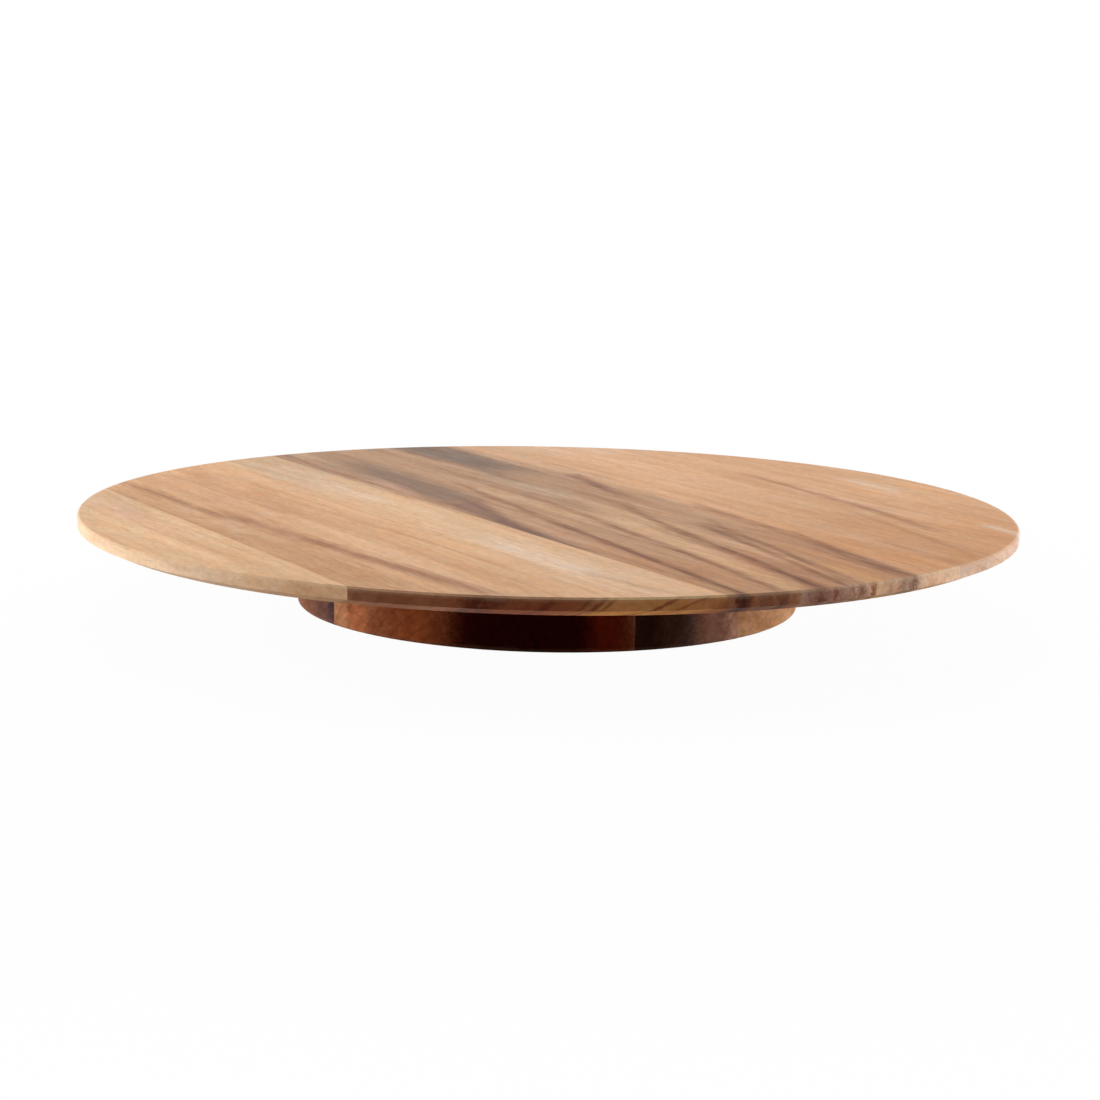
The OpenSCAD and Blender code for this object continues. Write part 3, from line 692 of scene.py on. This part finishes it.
# painted shade: the near-black ground and dark bands stand for the shade under the top, and the lighter bands
# towards its right edge paint the side light reaching it
umberShadedPlank = dict(
    baseCommon, seed=67.2, pith=(140, -20), deep=(0.06, 0.024, 0.016), ground=(0.085, 0.036, 0.024),
    pale=(0.12, 0.052, 0.034), endTint=(0.95, 0.92, 0.92), wornTone=(0.25, 0.16, 0.12),
    zones=bandsAndShade([
        (44, 14, (0.036, 0.0115, 0.006), 1.0, 10),
        (64, 5, (0.045, 0.032, 0.036), 0.9, 6),
        (78, 22, (0.39, 0.2, 0.135), 1.0, 16),
        (85, 7, (0.62, 0.35, 0.25), 1.0, 5)]))

orangePlank = dict(
    baseCommon, seed=79.5, pith=(60, -50), deep=(0.5, 0.25, 0.12), ground=(0.67, 0.35, 0.175),
    pale=(0.74, 0.42, 0.23), endTint=(0.97, 0.94, 0.92), wornTone=(0.6, 0.38, 0.26))

for nodeName, plank in (("base_stave_1", plumPlank), ("base_stave_2", russetShadedPlank),
                        ("base_stave_3", umberShadedPlank), ("base_stave_4", orangePlank)):
    dress(nodeName, plankMaterial("wood_" + nodeName, plank))
print("base planks dressed")


def makeFineWear():  # small smudges and specks for metal, plastic and rubber
    group, given, out = newGroup(
        "fineWear",
        [("Scale", number, 200.0), ("Spread", number, 0.1), ("Roughness", number, 0.4),
         ("Seed", number, 0.0)],
        [("Specks", number), ("Roughness", number)])
    place = addNode(group, "ShaderNodeTexCoord").outputs["Object"]
    moved = vectorCalc(group, "ADD", place, joined(group, given["Seed"], given["Seed"]))
    specks = noise(group, moved, 4.0, scale=given["Scale"])
    centred = calc(group, "SUBTRACT", specks, 0.5)
    rough = calc(group, "MULTIPLY_ADD", centred, given["Spread"], given["Roughness"], clamp=True)
    giveOut(group, out, {"Specks": specks, "Roughness": rough})
    return group


fineWear = makeFineWear()


def plainMaterial(name, look):
    material, tree = newMaterial(name)
    wear = placeGroup(tree, fineWear, {
        "Scale": look["scale"], "Spread": look["spread"], "Roughness": look["roughness"],
        "Seed": look["seed"]})
    height = wear["Specks"]
    if "turned" in look:  # fine rings left by the lathe
        place = addNode(tree, "ShaderNodeTexCoord").outputs["Object"]
        flat = vectorCalc(tree, "MULTIPLY", place, (1, 1, 0))
        reach = vectorCalc(tree, "LENGTH", flat, output="Value")
        rings = addNode(tree, "ShaderNodeTexNoise", {"noise_dimensions": "1D"}, {
            "W": calc(tree, "MULTIPLY", reach, look["turned"]), "Scale": 1.0, "Detail": 2.0})
        height = calc(tree, "MULTIPLY_ADD", height, 0.3, rings.outputs[0])
    bump = addNode(tree, "ShaderNodeBump", None, {
        "Strength": look["bump"], "Distance": 0.1 * mm, "Height": height})
    shader = addNode(tree, "ShaderNodeBsdfPrincipled", None, {
        "Base Color": mixColour(tree, "MIX", wear["Specks"], look["dark"], look["light"]),
        "Roughness": wear["Roughness"], "Metallic": look["metallic"], "Normal": bump.outputs["Normal"]})
    addNode(tree, "ShaderNodeOutputMaterial", None, {"Surface": shader.outputs[0]})
    return material


ringLook = {"scale": 60.0, "spread": 0.16, "roughness": 0.34, "seed": 2.0, "dark": (0.62, 0.63, 0.64),
            "light": (0.78, 0.79, 0.8), "metallic": 1.0, "bump": 0.25, "turned": 5000.0}
ballLook = {"scale": 500.0, "spread": 0.06, "roughness": 0.12, "seed": 4.0, "dark": (0.7, 0.71, 0.73),
            "light": (0.8, 0.81, 0.83), "metallic": 1.0, "bump": 0.03}
cageLook = {"scale": 900.0, "spread": 0.12, "roughness": 0.55, "seed": 6.0, "dark": (0.72, 0.69, 0.63),
            "light": (0.84, 0.82, 0.77), "metallic": 0.0, "bump": 0.2}
screwLook = {"scale": 300.0, "spread": 0.14, "roughness": 0.32, "seed": 8.0, "dark": (0.52, 0.53, 0.55),
             "light": (0.7, 0.7, 0.7), "metallic": 1.0, "bump": 0.12}
footLook = {"scale": 1400.0, "spread": 0.15, "roughness": 0.72, "seed": 9.0, "dark": (0.016, 0.016, 0.016),
            "light": (0.04, 0.04, 0.04), "metallic": 0.0, "bump": 0.5}

for look, materialName, nodeNames in (
        (ringLook, "turned_ring", ["outer_ring", "inner_ring"]),
        (ballLook, "polished_ball", ["bearing_balls"]),
        (cageLook, "cage_nylon", ["ball_cage"]),
        (screwLook, "zinc_screw", ["outer_ring_screws", "inner_ring_screws", "foot_screws", "filler_plug"]),
        (footLook, "foot_rubber_black", ["foot_1", "foot_2", "foot_3", "foot_4"])):
    material = plainMaterial(materialName, look)
    for nodeName in nodeNames:
        dress(nodeName, material)
print("bearing, screws and feet dressed")

studio = {
    "floorSize": 8.0, "floorTone": 0.8, "shadowShare": 0.03, "shadowFade": (0.3, 0.75), "fill": 0.04,
    "target": (0, 0.05, 0.04), "lamps": [  # name, place, size and radiance
        ("overheadBox", (0, 0.3, 1.2), (1.4, 1.0), 2.42),
        ("leftBox", (-1.1, 0.1, 0.45), (1.0, 0.6), 5.2),
        ("rightBox", (1.1, 0.1, 0.45), (1.0, 0.6), 3.1),
        ("leftStrip", (-0.95, 0.05, 0.15), (1.2, 0.28), 3.6),
        ("rightStrip", (0.95, 0.05, 0.15), (1.2, 0.28), 3.4)]}


def showsWhite(tree):  # 1 for rays that should see the plain background
    path = addNode(tree, "ShaderNodeLightPath")
    seen = calc(tree, "MAXIMUM", path.outputs["Is Camera Ray"], path.outputs["Is Glossy Ray"])
    return calc(tree, "MAXIMUM", seen, path.outputs["Is Transmission Ray"])


def makeFloor():
    bpy.ops.mesh.primitive_plane_add(size=studio["floorSize"], location=(0, 0, 0))
    floor = bpy.context.object
    floor.name = "studioFloor"
    material, tree = newMaterial("floor_white")
    tone = studio["floorTone"]
    lit = addNode(tree, "ShaderNodeBsdfDiffuse", None, {"Color": (tone, tone, tone)})
    glow = addNode(tree, "ShaderNodeEmission", None, {"Color": (1, 1, 1), "Strength": 1.0})
    place = addNode(tree, "ShaderNodeTexCoord").outputs["Object"]
    reach = vectorCalc(tree, "LENGTH", place, output="Value")
    nearest, farthest = studio["shadowFade"]  # only the floor round the object shows its shadow
    near = softStep(tree, reach, farthest, nearest)
    share = calc(tree, "MULTIPLY_ADD", near, -studio["shadowShare"], 1.0)
    factor = calc(tree, "MULTIPLY", showsWhite(tree), share)
    mixed = addNode(tree, "ShaderNodeMixShader", None, {0: factor, 1: lit.outputs[0], 2: glow.outputs[0]})
    clear = addNode(tree, "ShaderNodeBsdfTransparent")
    side = addNode(tree, "ShaderNodeNewGeometry")  # seen from below, the floor is left out
    both = addNode(tree, "ShaderNodeMixShader", None,
                   {0: side.outputs["Backfacing"], 1: mixed.outputs[0], 2: clear.outputs[0]})
    addNode(tree, "ShaderNodeOutputMaterial", None, {"Surface": both.outputs[0]})
    floor.data.materials.append(material)


def makeWorld():
    world = bpy.data.worlds.new("studioWorld")
    bpy.context.scene.world = world
    world.use_nodes = True
    tree = world.node_tree
    tree.nodes.clear()
    fill = addNode(tree, "ShaderNodeBackground", None, {"Color": (1, 1, 1), "Strength": studio["fill"]})
    white = addNode(tree, "ShaderNodeBackground", None, {"Color": (1, 1, 1), "Strength": 1.0})
    mixed = addNode(tree, "ShaderNodeMixShader", None,
                    {0: showsWhite(tree), 1: fill.outputs[0], 2: white.outputs[0]})
    addNode(tree, "ShaderNodeOutputWorld", None, {"Surface": mixed.outputs[0]})


def softBox(name, place, size, radiance):
    lamp = bpy.data.lights.new(name, "AREA")
    lamp.shape = "RECTANGLE"
    lamp.size, lamp.size_y = size
    lamp.energy = radiance * math.pi * size[0] * size[1]
    holder = bpy.data.objects.new(name, lamp)
    bpy.context.scene.collection.objects.link(holder)
    holder.location = place
    aim = Vector(studio["target"]) - Vector(place)
    holder.rotation_mode = "QUATERNION"
    holder.rotation_quaternion = aim.to_track_quat("-Z", "Y")


makeFloor()
makeWorld()
for lampName, place, size, radiance in studio["lamps"]:
    softBox(lampName, place, size, radiance)
print("studio lit")

view = {"distance": 1.1, "elevation": 9.03, "yaw": -0.052, "pitch": -1.098, "roll": -1.095, "lens": 73.88,
        "sensor": 36.0, "clip": (0.05, 30.0)}


def makeCamera():  # looks at the middle of the top face, then turns by yaw, pitch and roll
    rise = math.radians(view["elevation"])
    offset = Vector((0, -math.cos(rise), math.sin(rise))) * view["distance"]
    forward = -offset.normalized()
    right = forward.cross(Vector((0, 0, 1))).normalized()
    axes = [right, right.cross(forward), forward]
    for index, angle in ((1, "yaw"), (0, "pitch"), (2, "roll")):
        spin = Matrix.Rotation(math.radians(view[angle]), 3, axes[index])
        axes = [spin @ axis for axis in axes]
    right, above, forward = axes
    data = bpy.data.cameras.new("viewCamera")
    data.sensor_width = view["sensor"]
    data.lens = view["lens"]
    data.clip_start, data.clip_end = view["clip"]
    camera = bpy.data.objects.new("viewCamera", data)
    bpy.context.scene.collection.objects.link(camera)
    turn = Matrix((right, above, -forward)).transposed().to_4x4()
    camera.matrix_world = Matrix.Translation(Vector((0, 0, topFace)) + offset) @ turn
    bpy.context.scene.camera = camera


makeCamera()
bpy.context.scene.view_settings.view_transform = "Standard"
